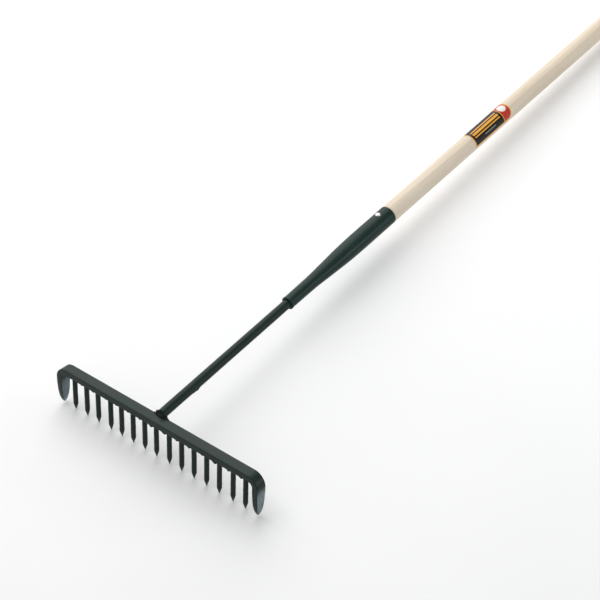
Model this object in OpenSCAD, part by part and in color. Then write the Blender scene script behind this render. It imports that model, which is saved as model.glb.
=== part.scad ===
// Straight-shank levelling rake: a welded flat-bar head with bent end prongs, fifteen round
// tines, a solid shank, a swaged tube socket and a turned ash handle.
// The rake lies as it does on the ground: on its tine points and the end of its handle.
// Millimetres. +X along the bar, +Y from the head to the free end, +Z up.

/* [Head] */
// depth of the flat bar, front to back
bar_d = 19; // [17:0.5:24]
// thickness of the flat bar
bar_t = 11; // [10:0.5:14]
// distance from one tine to the next
tine_pitch = 25.4; // [24:0.2:30]
// diameter of each tine
tine_dia = 8; // [6:0.5:10]
// how far the tines stand below the bar
tine_len = 64; // [60:1:90]
// length of the tine's pencil point
tine_point = 11; // [6:1:16]
// how much shorter the end prongs are than the tines
prong_short = 3; // [0:0.5:6]
// inside radius of the bend at each end of the bar
bend_r = 9; // [6:0.5:14]
// size of the weld bead round each tine
bead = 3.8; // [2:0.2:4.4]

/* [Shank and socket] */
// rise of the shank from the plane of the bar, in degrees
shank_rise = 10; // [4:0.5:20]
// diameter of the solid shank
shank_dia = 16; // [14:0.5:18]
// length of the shank that shows
shank_len = 298; // [200:1:400]
// length of the socket
socket_len = 265; // [250:1:320]
// outside diameter of the socket at its mouth
socket_dia = 32.8; // [32:0.2:36]
// outside diameter of the socket at its lower end
socket_low_dia = 22; // [21:0.2:24]
// wall of the socket tube
wall = 2; // [1.6:0.2:2.4]
// diameter of the rivet head
rivet_head = 9.5; // [8:0.5:12]
// distance from the rivet to the socket mouth
rivet_in = 24; // [12:1:40]
// turn of the rivet about the shank's axis, in degrees
rivet_turn = 8; // [0:1:30]

/* [Handle] */
// diameter of the handle at the socket mouth
handle_dia = 32.2; // [31:0.1:32.4]
// diameter of the handle at its fullest
belly_dia = 33; // [32.6:0.1:36]
// diameter of the handle at its free end
end_dia = 31; // [28:0.2:34]
// length of the handle outside the socket
handle_len = 1200; // [1000:10:1500]
// rounding of the handle's free end
end_round = 8; // [4:0.5:12]
// start of the label, measured from the socket mouth
label_at = 231; // [222:1:240]
// length of the label
label_len = 112; // [90:1:118]
// thickness of the label
label_t = 0.3; // [0.2:0.05:0.6]

/* [Hidden] */
$fn = 96;
eps = 0.05;
// the bar's middle is the origin of the head, so its faces are half a size away
half_d = bar_d / 2;
half_t = bar_t / 2;
tip_z = -half_t - tine_len;
prong_z = tip_z + prong_short;
end_x = 8 * tine_pitch;
outer_r = bend_r + bar_t;
// each tine was set by hand, so it stands a little off its mark
shift = [0.5, 1, 0.5, 2.3, 0.3, -0.4, -1, -2.1, -0.6, -0.6, -0.7, -0.6, -0.4, 1.4, 0.6];
tine_r = tine_dia / 2;
tine_tip_r = 0.8;
// half sizes of the blunt tip of an end prong
prong_tip_y = 1.8;
prong_tip_x = 1.5;
// shoulder of the leaf where an end prong starts to narrow in the side view
leaf_y = half_d - 2.4;
leaf_z = tip_z + 17;
// the shank starts at the bar's back face, its axis a little above the top face
shank_r = shank_dia / 2;
shank_y = half_d;
shank_z = half_t + 2;
// the shank reaches this far into the socket
shank_grip = 60;
bore_r = shank_r + eps;
socket_r = socket_dia / 2;
low_r = socket_low_dia / 2;
// stations along the socket, as shares of its length
cone_a = 0.24 * socket_len;
cone_b = 0.53 * socket_len;
mid_r = low_r + 0.4;
tenon_len = 118;
tenon_r = socket_r - wall - eps;
// stations along the handle, from the socket mouth
belly_at = 560;
grip_at = handle_len - 160;
handle_r = handle_dia / 2;
belly_r = belly_dia / 2;
end_r = end_dia / 2;
// straight lines between the stations keep the label's stretch a plain cone
st_label_a = 220;
st_label_b = 360;
function swell(s) = handle_r + (belly_r - handle_r) * (1 - pow(1 - s / belly_at, 1.25));
function label_r(s) = swell(st_label_a) + (swell(st_label_b) - swell(st_label_a))
    * (s - st_label_a) / (st_label_b - st_label_a);
handle_s = shank_len + socket_len;
total_s = handle_s + handle_len;
// tilt that puts the tine points and the rounded handle end on one level
pc_s = total_s - end_round;
pc_r = end_r - end_round;
pc_y = shank_y + pc_s * cos(shank_rise) + pc_r * sin(shank_rise);
pc_z = shank_z + pc_s * sin(shank_rise) - pc_r * cos(shank_rise) - tip_z;
tilt = atan2(pc_z, pc_y) - asin(end_round / norm([pc_y, pc_z]));
droop = tilt - shank_rise;
lift = -tip_z * cos(tilt);
// middle of the length, so that the origin lies under the middle of the rake
top_y = shank_y + pc_s * cos(shank_rise);
top_z = shank_z + pc_s * sin(shank_rise);
max_y = top_y * cos(tilt) + top_z * sin(tilt) + pc_r * sin(droop) + end_round;
min_y = -leaf_y * cos(tilt) + leaf_z * sin(tilt);
mid_y = (min_y + max_y) / 2;

paint = [0.13, 0.19, 0.17];
weld_paint = [0.09, 0.13, 0.12];
metal = [0.82, 0.84, 0.83];
ash = [0.84, 0.76, 0.62];
ink = [0.06, 0.06, 0.06];

// from the head's own axes to the way the rake lies on the ground
module lie() {
    translate([0, -mid_y, lift])
        rotate([-tilt, 0, 0])
            children();
}

// local Z runs along the shank, local Y points up and forward
module along_shank(s) {
    translate([0, shank_y, shank_z])
        rotate([shank_rise - 90, 0, 0])
            translate([0, 0, s])
                children();
}

function tine_x(i) = (i - 8) * tine_pitch + shift[i - 1];

// front view of one end of the bar: bend and pointed prong
module end_front() {
    x_in = end_x - half_t;
    x_out = end_x + half_t;
    z_bend = half_t - outer_r;
    difference() {
        translate([x_in - bend_r, z_bend])
            circle(r = outer_r);
        translate([x_in - bend_r, z_bend])
            circle(r = bend_r);
        translate([x_in - bend_r - 2 * outer_r, z_bend - outer_r - 1])
            square([2 * outer_r, 3 * outer_r]);
        translate([x_in - bend_r - 1, z_bend - 2 * outer_r])
            square([3 * outer_r, 2 * outer_r]);
    }
    polygon([
        [x_in, z_bend], [x_out, z_bend], [x_out - 0.6, tip_z + 24],
        [x_out - 1.6, tip_z + 14], [end_x + prong_tip_x, prong_z], [end_x - prong_tip_x, prong_z],
        [x_in + 1.6, tip_z + 14], [x_in + 0.6, tip_z + 24]
    ]);
}

// side view of the bar's end: full depth at the bend, leaf-shaped below it
module end_side() {
    polygon([
        [-half_d, half_t + 1], [half_d, half_t + 1], [half_d, tip_z + 46],
        [half_d - 0.7, tip_z + 28], [leaf_y, leaf_z], [prong_tip_y, prong_z],
        [-prong_tip_y, prong_z], [-leaf_y, leaf_z], [-half_d + 0.7, tip_z + 28],
        [-half_d, tip_z + 46]
    ]);
}

module bar_end() {
    intersection() {
        translate([0, half_d + 1, 0])
            rotate([90, 0, 0])
                linear_extrude(bar_d + 2)
                    end_front();
        rotate([90, 0, 90])
            linear_extrude(end_x + bar_t + 10)
                end_side();
    }
}

module bar_solid() {
    run = end_x - half_t - bend_r;
    union() {
        translate([-run, -half_d, -half_t])
            cube([2 * run, bar_d, bar_t]);
        bar_end();
        mirror([1, 0, 0])
            bar_end();
    }
}

module head_bar() {
    color(paint)
        lie()
            bar_solid();
}

// round tine with a pencil point, butted against the bar's underside
module tine(i) {
    color(paint)
        lie()
            translate([tine_x(i), 0, tip_z])
                rotate_extrude()
                    polygon([
                        [0, 0], [tine_tip_r, 0.4], [tine_r, tine_point],
                        [tine_r, tine_len], [0, tine_len]
                    ]);
}

module tine_01() {
    tine(1);
}
module tine_02() {
    tine(2);
}
module tine_03() {
    tine(3);
}
module tine_04() {
    tine(4);
}
module tine_05() {
    tine(5);
}
module tine_06() {
    tine(6);
}
module tine_07() {
    tine(7);
}
module tine_08() {
    tine(8);
}
module tine_09() {
    tine(9);
}
module tine_10() {
    tine(10);
}
module tine_11() {
    tine(11);
}
module tine_12() {
    tine(12);
}
module tine_13() {
    tine(13);
}
module tine_14() {
    tine(14);
}
module tine_15() {
    tine(15);
}

// one bead round each tine, heavier in front and on its left side
module tine_welds() {
    color(weld_paint)
        lie()
            for (i = [1:15])
                translate([tine_x(i), 0, -half_t - bead])
                    difference() {
                        translate([-2.6, -1.5, 0])
                            cylinder(h = bead, r1 = tine_r + 2.2, r2 = tine_r + bead + 0.6);
                        translate([0, 0, -1])
                            cylinder(h = bead + 2, r = tine_r + eps);
                    }
}

module shank_solid(r) {
    difference() {
        along_shank(-20)
            cylinder(h = shank_len + shank_grip + 20, r = r);
        translate([-40, -60 + half_d, -60])
            cube([80, 60, 120]);
    }
}

module shank() {
    color(paint)
        lie()
            shank_solid(shank_r);
}

// bead across the top of the bar in front of the shank, and a collar round the shank
module shank_weld() {
    color(weld_paint)
        lie()
            difference() {
                union() {
                    translate([-10, half_d - 0.8, half_t])
                        rotate([0, 90, 0])
                            cylinder(h = 20, r = 4.4);
                    for (x = [-10, 10])
                        translate([x, half_d - 0.8, half_t])
                            sphere(r = 4.4);
                    along_shank(-4)
                        cylinder(h = 12, r1 = shank_r + 4.4, r2 = shank_r + 0.6);
                }
                translate([-60, -half_d, -half_t])
                    cube([120, bar_d, bar_t]);
                shank_solid(shank_r + eps);
            }
}

// half section of the socket tube
module socket_section() {
    polygon([
        [bore_r, 0], [low_r - 0.2, 0], [low_r + 0.5, 0.8], [low_r + 0.5, 3.4], [low_r, 4.6],
        [low_r, 16], [mid_r, cone_a],
        [socket_r - 0.8, cone_b], [socket_r, cone_b + 34], [socket_r, socket_len - 0.6],
        [socket_r - 0.6, socket_len], [socket_r - wall, socket_len],
        [socket_r - wall, cone_b + 34], [socket_r - 0.8 - wall, cone_b],
        [mid_r - wall, cone_a], [bore_r, shank_grip]
    ]);
}

module socket() {
    color(paint)
        lie()
            along_shank(shank_len)
                difference() {
                    rotate_extrude()
                        socket_section();
                    translate([0, 0, socket_len - rivet_in])
                        rotate([90, 0, -rivet_turn])
                            cylinder(h = 60, r = 2.5 + eps, center = true);
                }
}

// domed rivet through the socket and the handle, formed over on both sides
module rivet() {
    dome = 2.6;
    cap_r = (pow(rivet_head / 2, 2) + dome * dome) / (2 * dome);
    color(metal)
        lie()
            along_shank(handle_s - rivet_in)
                union() {
                    rotate([90, 0, -rivet_turn])
                        cylinder(h = 2 * socket_r + 0.2, r = 2.5, center = true);
                    for (side = [-90, 90])
                        rotate([side, 0, -rivet_turn])
                            translate([0, 0, socket_r])
                                intersection() {
                                    translate([0, 0, dome - cap_r])
                                        sphere(r = cap_r);
                                    translate([0, 0, eps])
                                        cylinder(h = dome + 1, r = rivet_head);
                                }
                }
}

// half section of the handle, with the tenon that goes into the socket
module handle_section() {
    polygon(concat(
        [[0, -tenon_len], [tenon_r - 3, -tenon_len], [tenon_r, -tenon_len + 10], [tenon_r, eps],
         [handle_r - 0.5, eps], [handle_r, 0.6], [swell(70), 70], [swell(145), 145]],
        [[swell(st_label_a), st_label_a], [swell(st_label_b), st_label_b]],
        [for (k = [1:5]) let (s = st_label_b + k * (belly_at - st_label_b) / 5) [swell(s), s]],
        [for (k = [0:5]) let (s = belly_at + 40 + k * (grip_at - belly_at - 40) / 5)
            [end_r + (belly_r - end_r) * (0.5 + 0.5 * cos(180 * (s - belly_at)
                / (grip_at - belly_at))), s]],
        [for (a = [0:10:90]) [end_r - end_round + end_round * cos(a),
            handle_len - end_round + end_round * sin(a)]],
        [[0, handle_len]]
    ));
}

module handle() {
    color(ash)
        lie()
            along_shank(handle_s)
                difference() {
                    rotate_extrude()
                        handle_section();
                    translate([0, 0, -rivet_in])
                        rotate([90, 0, -rivet_turn])
                            cylinder(h = 60, r = 2.5 + eps, center = true);
                }
}

// printed film wrapped over the top of the handle
module label() {
    a = label_at;
    b = label_at + label_len;
    color(ink)
        lie()
            along_shank(handle_s)
                rotate([0, 0, -166])
                    rotate_extrude(angle = 170)
                        polygon([
                            [label_r(a) + 0.01, a], [label_r(a) + label_t, a],
                            [label_r(b) + label_t, b], [label_r(b) + 0.01, b]
                        ]);
}

head_bar();
tine_01();
tine_02();
tine_03();
tine_04();
tine_05();
tine_06();
tine_07();
tine_08();
tine_09();
tine_10();
tine_11();
tine_12();
tine_13();
tine_14();
tine_15();
tine_welds();
shank();
shank_weld();
socket();
rivet();
handle();
label();
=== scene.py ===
import math

import bmesh
import bpy
from mathutils import Matrix, Vector, noise


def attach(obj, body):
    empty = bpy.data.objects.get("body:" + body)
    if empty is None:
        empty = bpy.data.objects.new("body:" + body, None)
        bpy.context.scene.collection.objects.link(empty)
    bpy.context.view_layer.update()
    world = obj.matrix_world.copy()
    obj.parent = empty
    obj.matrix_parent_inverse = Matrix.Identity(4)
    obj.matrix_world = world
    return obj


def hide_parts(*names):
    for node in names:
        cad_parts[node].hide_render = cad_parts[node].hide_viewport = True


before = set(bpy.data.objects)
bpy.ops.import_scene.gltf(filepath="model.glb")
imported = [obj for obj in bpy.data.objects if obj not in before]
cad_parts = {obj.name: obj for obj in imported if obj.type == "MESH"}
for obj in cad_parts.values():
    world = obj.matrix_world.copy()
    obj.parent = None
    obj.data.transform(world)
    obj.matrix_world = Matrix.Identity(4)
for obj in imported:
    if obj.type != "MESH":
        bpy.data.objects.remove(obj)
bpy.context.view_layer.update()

# ---------------------------------------------------------------- sizes, in mm, as in part.scad
MM = 0.001

# bar, end prongs and tines
BAR_D, BAR_T, BEND_R = 19.0, 11.0, 9.0
TINES, PITCH = 15, 25.4
TINE_R, TINE_LEN, TINE_POINT = 4.0, 64.0, 11.0
PRONG_SHORT = 3.0
# how far each tine stands off its even place, from the left
SHIFT = [0.5, 1, 0.5, 2.3, 0.3, -0.4, -1, -2.1, -0.6, -0.6, -0.7, -0.6, -0.4, 1.4, 0.6]
# the shoulder of a prong's leaf: its height above the tine tips, and how much narrower it is there
SHOULDER_UP, SHOULDER_IN = 17.0, 2.4

# shank, its place above the bar's middle, and the socket
RISE = math.radians(10.0)
SHANK_R, SHANK_LEN, SHANK_UP = 8.0, 298.0, 2.0
SOCKET_R, SOCKET_LEN, LOW_R, WALL = 16.4, 265.0, 11.0, 2.0
RIVET_IN, RIVET_TURN = 24.0, math.radians(8.0)

# handle, with one straight stretch under the label
HANDLE_R, BELLY_R, END_R = 16.1, 16.5, 15.5
HANDLE_LEN, END_ROUND, BELLY_AT, GRIP_LEN = 1200.0, 8.0, 560.0, 160.0
STRAIGHT_FROM, STRAIGHT_TO = 220, 360
LABEL_AT, LABEL_LEN = 231.0, 112.0
LABEL_FROM, LABEL_TO = math.radians(4), math.radians(-165.5)

HD, HT = BAR_D / 2, BAR_T / 2
TIP_Z = -HT - TINE_LEN
PRONG_Z = TIP_Z + PRONG_SHORT
END_X = (TINES + 1) / 2 * PITCH
RUN = END_X - HT - BEND_R
FOOT_Z = HT + SHANK_UP
HANDLE_S = SHANK_LEN + SOCKET_LEN


def rest_pose():
    """The head's own axes to the way the rake lies, from the same sums as part.scad.

    It rests on its tine tips and on the rounded lower edge of the handle's end, and the middle of
    its length is at Y = 0.
    """
    s = HANDLE_S + HANDLE_LEN - END_ROUND
    r = END_R - END_ROUND
    axis_y, axis_z = HD + s * math.cos(RISE), FOOT_Z + s * math.sin(RISE)
    edge_y = axis_y + r * math.sin(RISE)
    edge_z = axis_z - r * math.cos(RISE) - TIP_Z
    tilt = math.atan2(edge_z, edge_y) - math.asin(END_ROUND / math.hypot(edge_y, edge_z))
    back = axis_y * math.cos(tilt) + axis_z * math.sin(tilt) + r * math.sin(tilt - RISE) + END_ROUND
    front = -(HD - SHOULDER_IN) * math.cos(tilt) + (TIP_Z + SHOULDER_UP) * math.sin(tilt)
    move = Matrix.Translation((0, -(front + back) / 2 * MM, -TIP_Z * math.cos(tilt) * MM))
    return move @ Matrix.Rotation(-tilt, 4, "X")


LIE = rest_pose()


def along(s):
    """Local Z runs up the shank and handle from s mm, local -Y is the upper side."""
    start = Matrix.Translation((0, HD * MM, FOOT_Z * MM))
    turn = Matrix.Rotation(RISE - math.pi / 2, 4, "X")
    return LIE @ start @ turn @ Matrix.Translation((0, 0, s * MM))


def tine_x(i):
    return (i - (TINES + 1) // 2) * PITCH + SHIFT[i - 1]


def wobble(point, scale, size):
    """Smooth noise at a point, between about -size and size."""
    return noise.noise(Vector(point) * scale) * size


def chance(*seeds):
    """Smooth noise between about -1 and 1, one value for each set of seeds."""
    return noise.noise(Vector(seeds))


def place(ob, matrix, nodes):
    """Puts a piece in its place and says what it rides on and stands for."""
    ob.matrix_world = matrix
    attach(ob, "root")
    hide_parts(*nodes)


def piece(name, verts, faces, mat, nodes, matrix=LIE, sharp=None, uv=None):
    """A mesh given in mm becomes a piece. sharp is the angle in degrees from which an edge is sharp."""
    me = bpy.data.meshes.new(name)
    me.from_pydata([Vector(v) * MM for v in verts], [], faces)
    me.validate()
    if uv is not None:
        layer = me.uv_layers.new(name="UVMap")
        for lp in me.loops:
            layer.data[lp.index].uv = uv[lp.vertex_index]
    bm = bmesh.new()
    bm.from_mesh(me)
    bmesh.ops.recalc_face_normals(bm, faces=bm.faces)
    bm.to_mesh(me)
    bm.free()
    me.shade_smooth()
    if sharp:
        me.set_sharp_from_angle(angle=math.radians(sharp))
    me.materials.append(mat)
    ob = bpy.data.objects.new(name, me)
    bpy.context.scene.collection.objects.link(ob)
    place(ob, matrix, nodes)
    return ob


def tube_faces(rows, n, closed=True):
    """Quads between rows of n points each, with the first and last row closed by a face."""
    faces = []
    for i in range(rows - 1):
        for k in range(n):
            a, b = i * n + k, i * n + (k + 1) % n
            faces.append((a, b, b + n, a + n))
    if closed:
        faces.append(tuple(range(n)))
        faces.append(tuple(range((rows - 1) * n, rows * n)))
    return faces


def turned(profile, n=64, rough=0.0, scale=0.05, seed=0.0, closed=True):
    """Vertices and faces of a profile [(radius, height)] turned about Z, uneven by up to rough."""
    verts = []
    for r, z in profile:
        for k in range(n):
            a = 2 * math.pi * k / n
            x, y = math.cos(a) * r, math.sin(a) * r
            grow = 1 + (wobble((x + seed, y, z), scale, rough) / r if rough and r > 1 else 0)
            verts.append((x * grow, y * grow, z))
    return verts, tube_faces(len(profile), n, closed)


def finer(points, step):
    """Points on straight lines, no more than step mm apart."""
    out = [points[0]]
    for (r0, z0), (r1, z1) in zip(points, points[1:]):
        m = max(1, int(math.hypot(r1 - r0, z1 - z0) / step))
        out += [(r0 + (r1 - r0) * k / m, z0 + (z1 - z0) * k / m) for k in range(1, m + 1)]
    return out


def through(points, x):
    """Value at x on straight lines through [(x, value)]."""
    pts = sorted(points)
    if x <= pts[0][0]:
        return pts[0][1]
    for (x0, v0), (x1, v1) in zip(pts, pts[1:]):
        if x <= x1:
            return v0 + (v1 - v0) * (x - x0) / (x1 - x0)
    return pts[-1][1]


# ---------------------------------------------------------------- materials
class Look:
    """A small builder for one Principled material. Its patterns lie in metres on the piece's own axes."""

    def __init__(self, name):
        self.mat = bpy.data.materials.new(name)
        self.mat.use_nodes = True
        self.t = self.mat.node_tree
        self.bsdf = next(n for n in self.t.nodes if n.type == "BSDF_PRINCIPLED")
        self.coord = self.t.nodes.new("ShaderNodeTexCoord")

    def node(self, kind, **inputs):
        n = self.t.nodes.new("ShaderNode" + kind)
        for k, v in inputs.items():
            if k in n.inputs:
                n.inputs[k].default_value = v
            else:
                setattr(n, k, v)
        return n

    def link(self, a, b):
        self.t.links.new(a, b)

    def space(self, scale=(1, 1, 1), turn=(0, 0, 0), vector=None):
        m = self.node("Mapping", Scale=scale, Rotation=turn)
        self.link(vector or self.coord.outputs["Object"], m.inputs["Vector"])
        return m.outputs["Vector"]

    def noise(self, scale, detail=3.0, rough=0.5, vector=None, distortion=0.0):
        n = self.node("TexNoise", Scale=scale, Detail=detail, Roughness=rough, Distortion=distortion)
        self.link(vector or self.space(), n.inputs["Vector"])
        return n.outputs["Fac"]

    def ramp(self, fac, stops):
        r = self.node("ValToRGB")
        el = r.color_ramp.elements
        while len(el) < len(stops):
            el.new(0.5)
        for e, (p, c) in zip(el, stops):
            e.position = p
            e.color = (*c, 1)
        self.link(fac, r.inputs["Fac"])
        return r.outputs["Color"]

    def span(self, value, lo, hi, to_lo=0.0, to_hi=1.0):
        """The stretch lo to hi becomes to_lo to to_hi, and stays there beyond its ends."""
        m = self.node("MapRange")
        self.link(value, m.inputs["Value"])
        m.inputs["From Min"].default_value = lo
        m.inputs["From Max"].default_value = hi
        m.inputs["To Min"].default_value = to_lo
        m.inputs["To Max"].default_value = to_hi
        return m.outputs["Result"]

    def math(self, op, a, b=None):
        m = self.node("Math", operation=op)
        for i, v in enumerate((a, b)):
            if v is None:
                continue
            if isinstance(v, (int, float)):
                m.inputs[i].default_value = v
            else:
                self.link(v, m.inputs[i])
        return m.outputs[0]

    def mix(self, fac, a, b):
        m = self.node("Mix", data_type="RGBA")
        self.link(fac, m.inputs[0])
        for i, v in ((6, a), (7, b)):
            if isinstance(v, tuple):
                m.inputs[i].default_value = (*v, 1)
            else:
                self.link(v, m.inputs[i])
        return m.outputs[2]

    def near(self, value, middle, half):
        """1 within half of middle, and 0 elsewhere."""
        return self.math("LESS_THAN", self.math("ABSOLUTE", self.math("SUBTRACT", value, middle)), half)

    def between(self, value, lo, hi):
        return self.math("MULTIPLY", self.math("GREATER_THAN", value, lo), self.math("LESS_THAN", value, hi))

    def axis(self, which, kind="Object"):
        s = self.node("SeparateXYZ")
        self.link(self.coord.outputs[kind], s.inputs[0])
        return s.outputs[which]

    def bump(self, heights):
        """Bumps laid one on the other, from [(height, strength, distance)]."""
        last = None
        for h, strength, dist in heights:
            b = self.node("Bump", Strength=strength, Distance=dist)
            self.link(h, b.inputs["Height"])
            if last:
                self.link(last, b.inputs["Normal"])
            last = b.outputs["Normal"]
        self.link(last, self.bsdf.inputs["Normal"])

    def set(self, **kw):
        for k, v in kw.items():
            s = self.bsdf.inputs[k.replace("_", " ")]
            if isinstance(v, (int, float, tuple)):
                s.default_value = v
            else:
                self.link(v, s)


def bare_points(k, col, gloss, wear):
    """Bare, dulled steel in specks where the points have touched the ground. wear is a stretch of Z."""
    ragged = k.span(k.noise(300.0, 4.0, 0.7), 0.3, 0.7, -0.003, 0.003)
    low = k.span(k.math("ADD", k.axis(2), ragged), wear[0], wear[1], 1.0, 0.0)
    bare = k.math("MULTIPLY", low, k.span(k.noise(700.0, 3.0, 0.7), 0.38, 0.6))
    col = k.mix(bare, col, (0.20, 0.215, 0.21))
    return col, k.math("ADD", gloss, k.math("MULTIPLY", bare, 0.12))


def prong_painted_reflection(k, col, gloss):
    """A painted blue-grey reflection of a cool side light on the flat sides of the end prongs, towards their
    points, with rougher paint there.
    """
    side = k.span(k.math("ABSOLUTE", k.axis(0, "Normal")), 0.75, 0.92)
    low = k.span(k.axis(2), -0.014, -0.026)
    cloud = k.span(k.noise(90.0, 5.0, 0.7), 0.30, 0.62, 0.45, 1.0)
    painted_reflection = k.math("MULTIPLY", k.math("MULTIPLY", side, low), cloud)
    # painted reflection: the faces that point sideways, low on the prongs, turn blue-grey
    col = k.mix(painted_reflection, col, (0.175, 0.218, 0.242))
    return col, k.math("ADD", gloss, k.math("MULTIPLY", painted_reflection, 0.15))


def hairlines(k, col, gloss):
    """A few fine scratches in two directions, each on the middle line of a stretched noise."""
    for turn, along_z in (((0.2, 0.5, 0.3), 10.4), ((0.9, 0.15, 1.2), 7.2)):
        v = k.space((160.0, 160.0, along_z), vector=k.space(turn=turn))
        off = k.math("ABSOLUTE", k.math("SUBTRACT", k.noise(1.0, 1.0, 0.3, v, 0.3), 0.5))
        line = k.math("SUBTRACT", 1.0, k.span(off, 0.0, 0.006))
        line = k.math("MULTIPLY", line, k.span(k.noise(22.0, 1.0), 0.55, 0.62))
        col = k.mix(k.math("MULTIPLY", line, 0.35), col, (0.09, 0.12, 0.11))
        gloss = k.math("ADD", gloss, k.math("MULTIPLY", line, 0.15))
    return col, gloss


def painted(name, dark, light, rough, peel=0.06, wear=None, painted_prong_reflection=False, scratches=False):
    """Green-black paint with orange peel, a cloudy tone and a little dust."""
    k = Look(name)
    cloud = k.noise(38.0, 4.0, 0.6)
    fine = k.noise(420.0, 3.0, 0.55)
    col = k.ramp(cloud, [(0.3, dark), (0.7, light)])
    gloss = k.span(k.math("ADD", cloud, fine), 0.7, 1.3, rough[0], rough[1])
    if wear:
        col, gloss = bare_points(k, col, gloss, wear)
    if painted_prong_reflection:
        # painted reflection of a cool side light on the end prongs' flat sides
        col, gloss = prong_painted_reflection(k, col, gloss)
    if scratches:
        col, gloss = hairlines(k, col, gloss)
    # a little pale dust in the hollows of the noise
    dust = k.span(k.noise(95.0, 5.0, 0.7), 0.6, 0.85, 0.0, 0.06)
    col = k.mix(dust, col, (0.05, 0.065, 0.06))
    k.set(Base_Color=col, Roughness=gloss, Specular_IOR_Level=0.13)
    k.bump([(k.noise(55.0, 2.0), 0.10, 0.0006), (k.noise(650.0, 2.0, 0.4), peel, 0.0003)])
    return k.mat


BAR_PAINT = painted(
    "bar_paint", (0.0110, 0.0225, 0.0190), (0.0155, 0.0290, 0.0245), rough=(0.26, 0.4),
    # the bar's end prongs get a painted blue-grey reflection on their flat sides
    wear=(-0.0735, -0.064), painted_prong_reflection=True,
)
TINE_PAINT = painted(
    "tine_paint", (0.0130, 0.0240, 0.0210), (0.0180, 0.0300, 0.0265), rough=(0.34, 0.5),
    wear=(-0.0700, -0.0600),
)
# the welds get a darker copy of the green-black paint: painted shade for the creases under the bar and round
# the shank's foot where they sit
WELD_PAINT_SHADED = painted(
    "weld_paint", (0.0060, 0.0110, 0.0095), (0.0095, 0.0160, 0.0140), rough=(0.24, 0.4), peel=0.12,
)
SHANK_PAINT = painted(
    "shank_paint", (0.0085, 0.0200, 0.0165), (0.0125, 0.0260, 0.0215), rough=(0.26, 0.38),
)
SOCKET_PAINT = painted(
    "socket_paint", (0.0085, 0.0240, 0.0195), (0.0135, 0.0320, 0.0265), rough=(0.24, 0.36),
    scratches=True,
)


def rivet_look():
    """Bright aluminium, a little uneven."""
    k = Look("rivet_metal")
    n = k.noise(500.0, 3.0, 0.6)
    k.set(Base_Color=k.ramp(n, [(0.3, (0.62, 0.64, 0.63)), (0.7, (0.82, 0.84, 0.83))]))
    k.set(Metallic=1.0, Roughness=k.span(n, 0.3, 0.7, 0.22, 0.38))
    k.bump([(k.noise(900.0, 2.0), 0.15, 0.0002)])
    return k.mat


def ash_look():
    """Pale ash under thin varnish: growth rings, fibres and dark pores, all drawn out along Z."""
    k = Look("ash_wood")
    # growth rings cut lengthwise are long bands that drift across the handle
    drift = k.noise(1.0, 2.0, 0.5, k.space((9.0, 9.0, 1.3)))
    push = k.node("CombineXYZ")
    k.link(k.span(drift, 0.3, 0.7, -0.006, 0.006), push.inputs[0])
    v = k.node("VectorMath", operation="ADD")
    k.link(k.space((1, 1, 0.06)), v.inputs[0])
    k.link(push.outputs[0], v.inputs[1])
    wave = k.node("TexWave", Scale=34.0, Distortion=1.4, Detail=2.0)
    wave.bands_direction = "X"
    wave.wave_profile = "SAW"
    wave.inputs["Detail Scale"].default_value = 1.2
    k.link(v.outputs[0], wave.inputs["Vector"])
    rings = wave.outputs["Fac"]
    fibre = k.noise(1.0, 5.0, 0.6, k.space((900.0, 900.0, 16.0)))
    pores = k.noise(1.0, 2.0, 0.5, k.space((2200.0, 2200.0, 55.0)))
    cloud = k.noise(1.0, 3.0, 0.5, k.space((40.0, 40.0, 3.2)))
    col = k.ramp(cloud, [(0.25, (0.640, 0.545, 0.420)), (0.75, (0.730, 0.640, 0.515))])
    band = k.span(rings, 0.55, 1.0, 0.0, 0.36)
    col = k.mix(band, col, (0.50, 0.400, 0.285))
    col = k.mix(k.span(fibre, 0.35, 0.75, 0.0, 0.34), col, (0.53, 0.420, 0.300))
    dark = k.math("MULTIPLY", k.span(pores, 0.60, 0.70), k.span(rings, 0.5, 1.0, 0.10, 0.5))
    col = k.mix(dark, col, (0.36, 0.275, 0.185))
    k.set(Base_Color=col, Roughness=k.span(fibre, 0.3, 0.7, 0.42, 0.56), Specular_IOR_Level=0.35)
    k.bump([(fibre, 0.12, 0.0003), (pores, 0.10, 0.0002)])
    return k.mat


RED_FROM = 0.86


def label_look():
    """Plain blocks only: a black panel with gold edge and bars, and a red end with a pale disc.

    u runs along the handle and v round it, both in millimetres / 100.
    """
    k = Look("label_film")
    u, v = k.axis(0, "UV"), k.axis(1, "UV")
    black, red, pale = (0.005, 0.006, 0.005), (0.46, 0.030, 0.018), (0.72, 0.70, 0.66)
    gold, grey = (0.72, 0.34, 0.035), (0.30, 0.32, 0.31)
    col = k.mix(k.math("GREATER_THAN", u, RED_FROM), black, red)
    run = k.between(u, 0.07, 0.80)
    for at, half in ((0.165, 0.012), (0.225, 0.022), (0.285, 0.012)):
        col = k.mix(k.math("MULTIPLY", k.near(v, at, half), run), col, gold)
    thin = k.math("MULTIPLY", k.near(v, 0.10, 0.006), k.between(u, 0.30, 0.62))
    col = k.mix(thin, col, grey)
    du, dv = k.math("SUBTRACT", u, 0.975), k.math("SUBTRACT", v, 0.27)
    away = k.math("SQRT", k.math("ADD", k.math("MULTIPLY", du, du), k.math("MULTIPLY", dv, dv)))
    col = k.mix(k.math("LESS_THAN", away, 0.085), col, pale)
    rim = k.node("Attribute", attribute_name="edge_mm")
    col = k.mix(k.math("LESS_THAN", rim.outputs["Fac"], 2.2), col, gold)
    col = k.mix(k.near(u, RED_FROM, 0.008), col, gold)
    k.set(Base_Color=col, Roughness=k.span(k.noise(260.0, 3.0), 0.3, 0.7, 0.26, 0.38))
    k.set(Specular_IOR_Level=0.22)
    k.bump([(k.noise(120.0, 3.0), 0.06, 0.0002)])
    return k.mat


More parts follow.
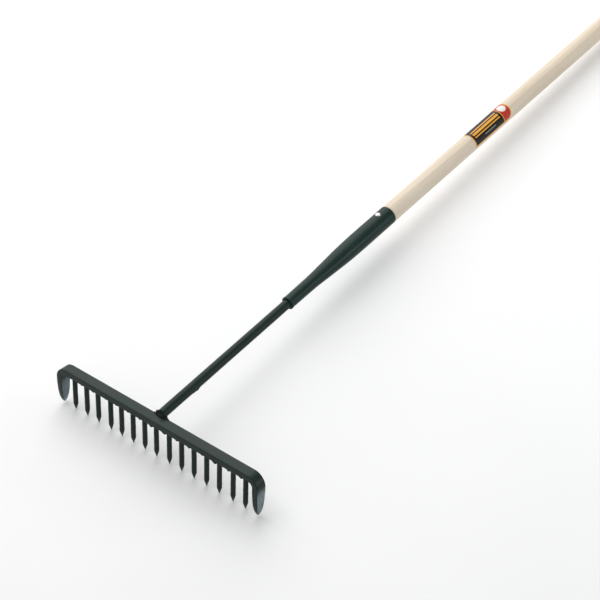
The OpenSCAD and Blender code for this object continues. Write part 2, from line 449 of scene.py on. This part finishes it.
# ---------------------------------------------------------------- head bar
def rounded_section(hw, ht, r, n=5, mid=3):
    """A rounded rectangle, half sizes hw and ht, with n steps round a corner and mid points on a side."""
    r = min(r, hw * 0.85, ht * 0.85)
    out = []
    for quarter, (cx, cy) in enumerate(((1, 1), (-1, 1), (-1, -1), (1, -1))):
        for k in range(n + 1):
            a = math.radians(90 * quarter + 90 * k / n)
            x1, y1 = r * math.cos(a), r * math.sin(a)
            out.append((cx * (hw - r) + x1, cy * (ht - r) + y1))
        # the next corner is a quarter turn on
        x0, y0 = out[-1]
        x1, y1 = -cy * (hw - r) + x1, cx * (ht - r) + y1
        for k in range(1, mid + 1):
            t = k / (mid + 1)
            out.append((x0 + (x1 - x0) * t, y0 + (y1 - y0) * t))
    return out


# half width and half thickness of an end prong, at heights from its point up
LEAF = [
    (PRONG_Z, 1.5), (PRONG_Z + 0.8, 2.2), (TIP_Z + 7, 3.9), (TIP_Z + 12, 5.9), (TIP_Z + 16, HD - 2.75),
    (TIP_Z + 19, HD - 2.15), (TIP_Z + 24, HD - 1.4), (TIP_Z + 32, HD - 0.65), (TIP_Z + 46, HD),
]
EDGE = [
    (PRONG_Z, 1.2), (PRONG_Z + 0.8, 1.7), (TIP_Z + 8, 3.1), (TIP_Z + 12.5, HT - 1.9),
    (TIP_Z + 15.5, HT - 1.4), (TIP_Z + 25, HT - 0.7), (TIP_Z + 40, HT - 0.2), (TIP_Z + 58, HT),
]


def bar_sections():
    """(centre x, centre z, tangent angle, half depth, half thickness) from the middle to the right tip."""
    flat, bend, leg = 30, 14, 44
    out = [(RUN * k / flat, 0.0, 0.0, HD, HT) for k in range(flat + 1)]
    bend_z, bend_r = HT - (BEND_R + BAR_T), BEND_R + HT
    for k in range(1, bend + 1):
        a = math.pi / 2 * k / bend
        x, z = RUN + bend_r * math.sin(a), bend_z + bend_r * math.cos(a)
        # the bar narrows and thins a little where it was bent
        drawn = math.sin(math.pi * k / bend)
        out.append((x, z, a, HD - 0.12 * drawn, HT - 0.25 * drawn))
    for k in range(1, leg + 1):
        z = bend_z + (PRONG_Z - bend_z) * k / leg
        out.append((RUN + bend_r, z, math.pi / 2, through(LEAF, z), through(EDGE, z)))
    return out


def head_bar():
    right = bar_sections()
    left = [(-x, z, -a, hw, ht) for x, z, a, hw, ht in reversed(right[1:])]
    rows = left + right
    verts = []
    for x, z, a, hw, ht in rows:
        ring = rounded_section(hw, ht, 1.15)
        for y, h in ring:
            px, pz = x + h * math.sin(a), z + h * math.cos(a)
            w = wobble((px, y, pz), 0.045, 0.10)
            # the steel is uneven, but nowhere above the bar's flat top
            out = w if h > 0 else -w
            up = w if h < 0 else -abs(w)
            verts.append((px + out * math.sin(a), y * (1 - 0.004 * abs(w)), pz + up * math.cos(a)))
    faces = tube_faces(len(rows), len(ring))
    return piece("head_bar_steel", verts, faces, BAR_PAINT, ["head_bar"], sharp=38)


def tine(i):
    outline = [
        (0.35, TIP_Z + 0.05), (0.8, TIP_Z + 0.5), (1.7, TIP_Z + 3.2), (2.7, TIP_Z + 6.6),
        (3.5, TIP_Z + 9.3), (TINE_R - 0.18, TIP_Z + TINE_POINT - 0.3),
        (TINE_R - 0.03, TIP_Z + TINE_POINT + 0.7), (TINE_R, TIP_Z + TINE_POINT + 1.8), (TINE_R, -HT),
    ]
    verts, faces = turned(finer(outline, 1.6), 32, rough=0.16, scale=0.16, seed=37.0 * i)
    verts = [(x + tine_x(i), y, z) for x, y, z in verts]
    name = f"tine_{i:02d}"
    return piece(name + "_steel", verts, faces, TINE_PAINT, [name], sharp=45)


# ---------------------------------------------------------------- welds, run on drop by drop
def weld(name, drops, nodes, voxel):
    """Drops [(x, y, z, radius)] in mm flow into one skin."""
    bm = bmesh.new()
    for x, y, z, r in drops:
        at = Matrix.Translation(Vector((x, y, z)) * MM)
        bmesh.ops.create_icosphere(bm, subdivisions=2, radius=r * MM, matrix=at)
    loose = bpy.data.meshes.new(name)
    bm.to_mesh(loose)
    bm.free()
    ob = bpy.data.objects.new(name, loose)
    bpy.context.scene.collection.objects.link(ob)
    join = ob.modifiers.new("join", "REMESH")
    join.mode = "VOXEL"
    join.voxel_size = voxel * MM
    flow = ob.modifiers.new("flow", "SMOOTH")
    flow.factor = 0.5
    flow.iterations = 3
    graph = bpy.context.evaluated_depsgraph_get()
    skin = bpy.data.meshes.new_from_object(ob.evaluated_get(graph))
    ob.modifiers.clear()
    ob.data = skin
    bpy.data.meshes.remove(loose)
    skin.name = name
    skin.shade_smooth()
    skin.materials.clear()
    # the darker weld paint is painted shade for the creases the welds sit in
    skin.materials.append(WELD_PAINT_SHADED)
    place(ob, LIE, nodes)
    return ob


# how heavily each tine was welded, from the left
RUN_SIZE = [0.35, 0.5, 0.6, 0.45, 0.5, 0.55, 0.7, 1.15, 1.1, 0.8, 0.75, 0.5, 1.1, 0.85, 0.8]


def root_ring(i):
    """The even ring of weld round a tine's root."""
    drops = []
    out = TINE_R + 0.5
    for k in range(14):
        a = 2 * math.pi * k / 14
        r = 1.9 + 0.5 * chance(i * 3.1, k * 0.9, 0.4)
        drops.append((tine_x(i) + out * math.cos(a), out * math.sin(a), -HT - 0.3, r))
    return drops


def root_run(i):
    """The heavier run of weld on the left of a tine's root, thinning away from it."""
    drops = []
    heavy = RUN_SIZE[i - 1]
    left = tine_x(i) - TINE_R
    n = 5 + int(4 * abs(chance(i * 1.7, 9.0, 0)))
    for k in range(n):
        t = k / (n - 1)
        w = chance(i * 5.3, k * 1.3, 7.7)
        low = (1.6 + 1.1 * chance(i * 2.9, k * 0.8, 1.2)) * heavy
        r = (1.9 + 0.9 * heavy + 0.6 * w) * (1 - 0.42 * t)
        drops.append((left + 0.8 - (2.4 + 3.6 * heavy) * t, -6.2 + 0.9 * w, -HT - low * (1 - 0.6 * t), r))
        r = (2.6 + 0.4 * w) * (1 - 0.4 * t)
        drops.append((left - 0.4 - 4.0 * t, -1.5 + 1.2 * w, -HT - 0.3, r))
    return drops


def tine_welds():
    drops = []
    for i in range(1, TINES + 1):
        drops += root_ring(i) + root_run(i)
    return weld("tine_weld_beads", drops, ["tine_welds"], 0.55)


def shank_weld():
    drops = []
    # a low run along the bar's rear edge, thickest where the shank meets it
    for k in range(21):
        t = k / 10 - 1
        x = 0.5 + 15.0 * t
        w = chance(k * 0.8, 3.3, 1.1)
        near = 1 - t * t
        r = 1.3 + (1.7 + 0.4 * w) * near
        drops.append((x, HD - 0.7 - 1.2 * near - 0.3 * w, HT - 0.5 + 0.4 * near, r))
        drops.append((x * 0.85, HD + 0.6, HT - 1.2 + 0.9 * near, r * 0.95))
    # a ramp of weld over the shank's cut end, thin at the top
    ramp_h = 6.4
    for row in range(6):
        h = row / 5
        half = math.sqrt(SHANK_R ** 2 - (ramp_h * h - SHANK_UP) ** 2)
        for k in range(9):
            t = k / 4 - 1
            r = 1.0 + 1.4 * (1 - h) + 0.3 * chance(k * 1.1, row * 0.9, 4.4)
            drops.append((half * t * 0.86, HD + 0.4 - 2.2 * (1 - h) ** 1.4, HT + ramp_h * h, r))
    # a hollow fillet round the shank's sides and underside, in three rings of (place along the
    # shank, how far out from it, radius)
    rings = ((0.6, 1.2, 2.2), (2.8, 0.0, 1.6), (4.8, -0.7, 1.2))
    for k in range(24):
        a = math.radians(-188 + 196 * k / 23)
        w = chance(k * 0.7, 6.1, 2.2)
        for s, out, r in rings:
            s += 0.6 * w
            x = (SHANK_R + out) * math.cos(a)
            up = (SHANK_R + out) * math.sin(a)
            y = HD + s * math.cos(RISE) - up * math.sin(RISE)
            z = FOOT_Z + s * math.sin(RISE) + up * math.cos(RISE)
            drops.append((x, max(y, HD + 0.2), z, r + 0.3 * w))
    return weld("shank_weld_bead", drops, ["shank_weld"], 0.5)


# ---------------------------------------------------------------- shank, socket, rivet
# drops of weld left on the shank: (place along it, half length, angle round it in degrees, half
# width in radians, height)
BURRS = [(74, 6.5, 36, 0.42, 1.5), (66, 4.5, 28, 0.30, 0.8)]


def burr_height(s, a):
    """How far the burrs stand out at s along the shank and at the angle a round it."""
    total = 0.0
    for at, half_len, angle, half_angle, height in BURRS:
        d = math.hypot((s - at) / half_len, (a - math.radians(angle)) / half_angle)
        total += height * max(0.0, 1 - d * d) ** 1.5
    return total


def shank():
    n, rows, hidden = 48, 120, 55
    verts = []
    for i in range(rows + 1):
        s = (SHANK_LEN + hidden) * i / rows
        for k in range(n):
            a = 2 * math.pi * k / n
            r = SHANK_R + wobble((math.cos(a) * 8, math.sin(a) * 8, s), 0.05, 0.10)
            r = min(r, SHANK_R + 0.04) + burr_height(s, a)
            x, y = r * math.cos(a), r * math.sin(a)
            # the foot is cut to lie along the bar's rear face
            verts.append((x, y, s if i else 0.15 - y * math.tan(RISE)))
    faces = tube_faces(rows + 1, n)
    return piece("shank_rod", verts, faces, SHANK_PAINT, ["shank"], along(0), sharp=40)


def socket():
    """A swaged tube: a rolled lower lip round the shank, a neck, a cone, and a straight mouth."""
    neck = 14
    cone_a, cone_b = 0.24 * SOCKET_LEN, 0.53 * SOCKET_LEN
    shape = [
        (neck, LOW_R), (cone_a, LOW_R + 0.4), (cone_b, SOCKET_R - 0.8), (cone_b + 34, SOCKET_R),
        (SOCKET_LEN, SOCKET_R),
    ]
    inner_lip = [(SHANK_R + 0.05, 3.0), (SHANK_R + 0.1, 0.6), (SHANK_R + 0.6, 0.05)]
    outer_lip = [
        (LOW_R - 0.7, 0.0), (LOW_R - 0.1, 0.15), (LOW_R + 0.35, 0.7), (LOW_R + 0.48, 1.6),
        (LOW_R + 0.42, 2.8), (LOW_R + 0.1, 4.2), (LOW_R, 6.0), (LOW_R, neck),
    ]
    body = []
    for k in range(1, 60):
        z = neck + (SOCKET_LEN - 14.8) * k / 60
        # the mean of five places rounds the corners of the cone
        r = sum(through(shape, z + dz) for dz in (-9, -5, 0, 5, 9)) / 5
        body.append((min(r, SOCKET_R), z))
    mouth = [
        (SOCKET_R, SOCKET_LEN - 0.8), (SOCKET_R - 0.12, SOCKET_LEN - 0.3),
        (SOCKET_R - 0.4, SOCKET_LEN - 0.06), (SOCKET_R - 0.8, SOCKET_LEN),
        (SOCKET_R - WALL + 0.2, SOCKET_LEN), (SOCKET_R - WALL, SOCKET_LEN - 0.3),
        (SOCKET_R - WALL, SOCKET_LEN - 12),
    ]
    outline = inner_lip + outer_lip + body + mouth
    verts, faces = turned(outline, 72, rough=0.10, scale=0.03, closed=False)
    at = along(SHANK_LEN)
    return piece("socket_tube", verts, faces, SOCKET_PAINT, ["socket"], at, sharp=45)


def rivet():
    """The two domed heads, each with its rim pressed down onto the round tube."""
    dome = [
        (4.7, -0.6), (4.75, 0.05), (4.68, 0.35), (4.35, 0.85), (3.7, 1.35), (2.9, 1.8), (2.0, 2.1),
        (1.0, 2.26), (0.3, 2.3),
    ]
    verts, faces = [], []
    for side in (1, -1):
        head, head_faces = turned(dome, 40)
        base = len(verts)
        for x, y, z in head:
            drop = SOCKET_R - math.sqrt(SOCKET_R ** 2 - min(x * x, 30)) if z < 0.5 else 0
            h = SOCKET_R + z - drop * (1 if z < 0.1 else 0.4)
            verts.append((x, -h * side, y))
        faces += [tuple(i + base for i in f) for f in head_faces]
    at = along(HANDLE_S - RIVET_IN) @ Matrix.Rotation(-RIVET_TURN, 4, "Z")
    return piece("rivet_aluminium", verts, faces, rivet_look(), ["rivet"], at, sharp=60)


# ---------------------------------------------------------------- handle and label
def swell(s):
    return HANDLE_R + (BELLY_R - HANDLE_R) * (1 - (1 - s / BELLY_AT) ** 1.25)


def handle_radius(s):
    """The CAD handle's swelling: fullest at its belly, straight at the grip and under the label."""
    if s < BELLY_AT:
        if STRAIGHT_FROM < s < STRAIGHT_TO:
            a, b = swell(STRAIGHT_FROM), swell(STRAIGHT_TO)
            return a + (b - a) * (s - STRAIGHT_FROM) / (STRAIGHT_TO - STRAIGHT_FROM)
        return swell(s)
    grip = HANDLE_LEN - GRIP_LEN
    if s < grip:
        part = (s - BELLY_AT) / (grip - BELLY_AT)
        return END_R + (BELLY_R - END_R) * (0.5 + 0.5 * math.cos(math.pi * part))
    return END_R


def handle():
    """The ash handle, from just inside the socket's mouth to its rounded end."""
    inside = SOCKET_R - WALL - 0.1
    outline = [
        (inside, -20.0), (inside, 0.1), (HANDLE_R - 0.8, 0.12), (HANDLE_R - 0.3, 0.3),
        (HANDLE_R - 0.05, 0.8),
    ]
    for s in range(6, int(HANDLE_LEN - END_ROUND), 12):
        outline.append((handle_radius(s) - 0.05, float(s)))
    for k in range(0, 11):
        a = math.radians(9 * k)
        r = END_R - END_ROUND + END_ROUND * math.cos(a)
        outline.append((r, HANDLE_LEN - END_ROUND + END_ROUND * math.sin(a)))
    outline.append((END_R - END_ROUND - 4, HANDLE_LEN))
    verts, faces = turned(outline, 80)
    return piece("handle_ash", verts, faces, ash_look(), ["handle"], along(HANDLE_S), sharp=50)


def label():
    """A film with a square lower end and an arched red end, wrapped over the handle's upper side."""
    nu, nv = 90, 60
    proud, inset, film_r, straight = 0.16, 0.5, 16.6, 94.0
    wide = abs(LABEL_TO - LABEL_FROM) * film_r
    verts, faces, uv, edges = [], [], [], []
    for i in range(nu + 1):
        for j in range(nv + 1):
            v = j / nv
            # the far end is a flat arch across the film
            arch = math.sqrt(max(0.0, 1 - abs(2 * v - 1) ** 2.6))
            end = straight + (LABEL_LEN - 2 * inset - straight) * arch
            s = inset + (end - inset) * i / nu
            a = LABEL_FROM + (LABEL_TO - LABEL_FROM) * v
            r = handle_radius(LABEL_AT + s) + proud
            verts.append((r * math.cos(a), r * math.sin(a), LABEL_AT + s))
            uv.append((s / 100, v * wide / 100))
            edges.append(min(s, end - s, v * wide, (1 - v) * wide))
    for i in range(nu):
        for j in range(nv):
            a = i * (nv + 1) + j
            faces.append((a, a + 1, a + nv + 2, a + nv + 1))
    at = along(HANDLE_S)
    ob = piece("label_film_wrap", verts, faces, label_look(), ["label"], at, uv=uv)
    rim = ob.data.attributes.new("edge_mm", "FLOAT", "POINT")
    rim.data.foreach_set("value", edges)
    return ob


head_bar()
for number in range(1, TINES + 1):
    tine(number)
tine_welds()
shank_weld()
shank()
socket()
rivet()
handle()
label()


# ---------------------------------------------------------------- floor, light and camera
def floor(half=9.0):
    corners = [(-half, -half, 0), (half, -half, 0), (half, half, 0), (-half, half, 0)]
    me = bpy.data.meshes.new("floor")
    me.from_pydata(corners, [], [(0, 1, 2, 3)])
    ob = bpy.data.objects.new("floor", me)
    bpy.context.scene.collection.objects.link(ob)
    k = Look("floor_paper")
    k.set(Base_Color=k.ramp(k.noise(3.0, 2.0), [(0.3, (0.86, 0.86, 0.86)), (0.7, (0.88, 0.88, 0.88))]))
    k.set(Roughness=0.9, Specular_IOR_Level=0.1)
    me.materials.append(k.mat)


def white_room(strength):
    world = bpy.data.worlds.new("studio")
    bpy.context.scene.world = world
    world.use_nodes = True
    background = world.node_tree.nodes["Background"]
    background.inputs["Color"].default_value = (1.0, 1.0, 1.0, 1)
    background.inputs["Strength"].default_value = strength


def softbox(name, direction, distance, size, power, target=(0, -0.2, 0.05), colour=(1, 1, 1)):
    """A rectangular light that stands off in a direction from its target and faces it."""
    light = bpy.data.lights.new(name, "AREA")
    light.shape = "RECTANGLE"
    light.size, light.size_y = size
    light.energy = power
    light.color = colour
    ob = bpy.data.objects.new(name, light)
    bpy.context.scene.collection.objects.link(ob)
    v = Vector(direction).normalized()
    ob.location = Vector(target) + v * distance
    ob.rotation_mode = "QUATERNION"
    ob.rotation_quaternion = (-v).to_track_quat("-Z", "Y")


def camera():
    """The photograph's viewpoint, in the head's own axes and round the bar's middle.

    The bar's middle lies to the left of the line of sight and below it, by the slopes given here.
    """
    az, el, roll = math.radians(38.608), math.radians(34.97), math.radians(2.043)
    dist, lens, sensor = 2722.53, 108.1164, 36.0
    left_slope, below_slope = 0.0792829, 0.0672908
    back = Vector((math.sin(az) * math.cos(el), -math.cos(az) * math.cos(el), math.sin(el)))
    level = Vector((math.cos(az), math.sin(az), 0))
    upright = back.cross(level)
    right = level * math.cos(roll) + upright * math.sin(roll)
    up = upright * math.cos(roll) - level * math.sin(roll)
    at = (back + right * left_slope + up * below_slope) * dist * MM
    cam = bpy.data.cameras.new("camera")
    cam.sensor_width = sensor
    cam.lens = lens
    cam.clip_start = 0.05
    cam.clip_end = 60
    ob = bpy.data.objects.new("camera", cam)
    bpy.context.scene.collection.objects.link(ob)
    axes = Matrix((right, up, back)).transposed().to_4x4()
    ob.matrix_world = LIE @ Matrix.Translation(at) @ axes
    bpy.context.scene.camera = ob


floor()
white_room(0.50)
# one broad box above and to the left lights everything; a small cool one shows on the end prong
softbox("key", (-0.62, 0.30, 0.78), distance=3.4, size=(5.0, 4.6), power=172)
softbox("right", (1.0, 0.40, 0.22), distance=2.6, size=(1.4, 0.5), power=13, colour=(0.84, 0.92, 1.0))
camera()
bpy.context.scene.view_settings.view_transform = "Standard"
bpy.context.scene.view_settings.look = "None"
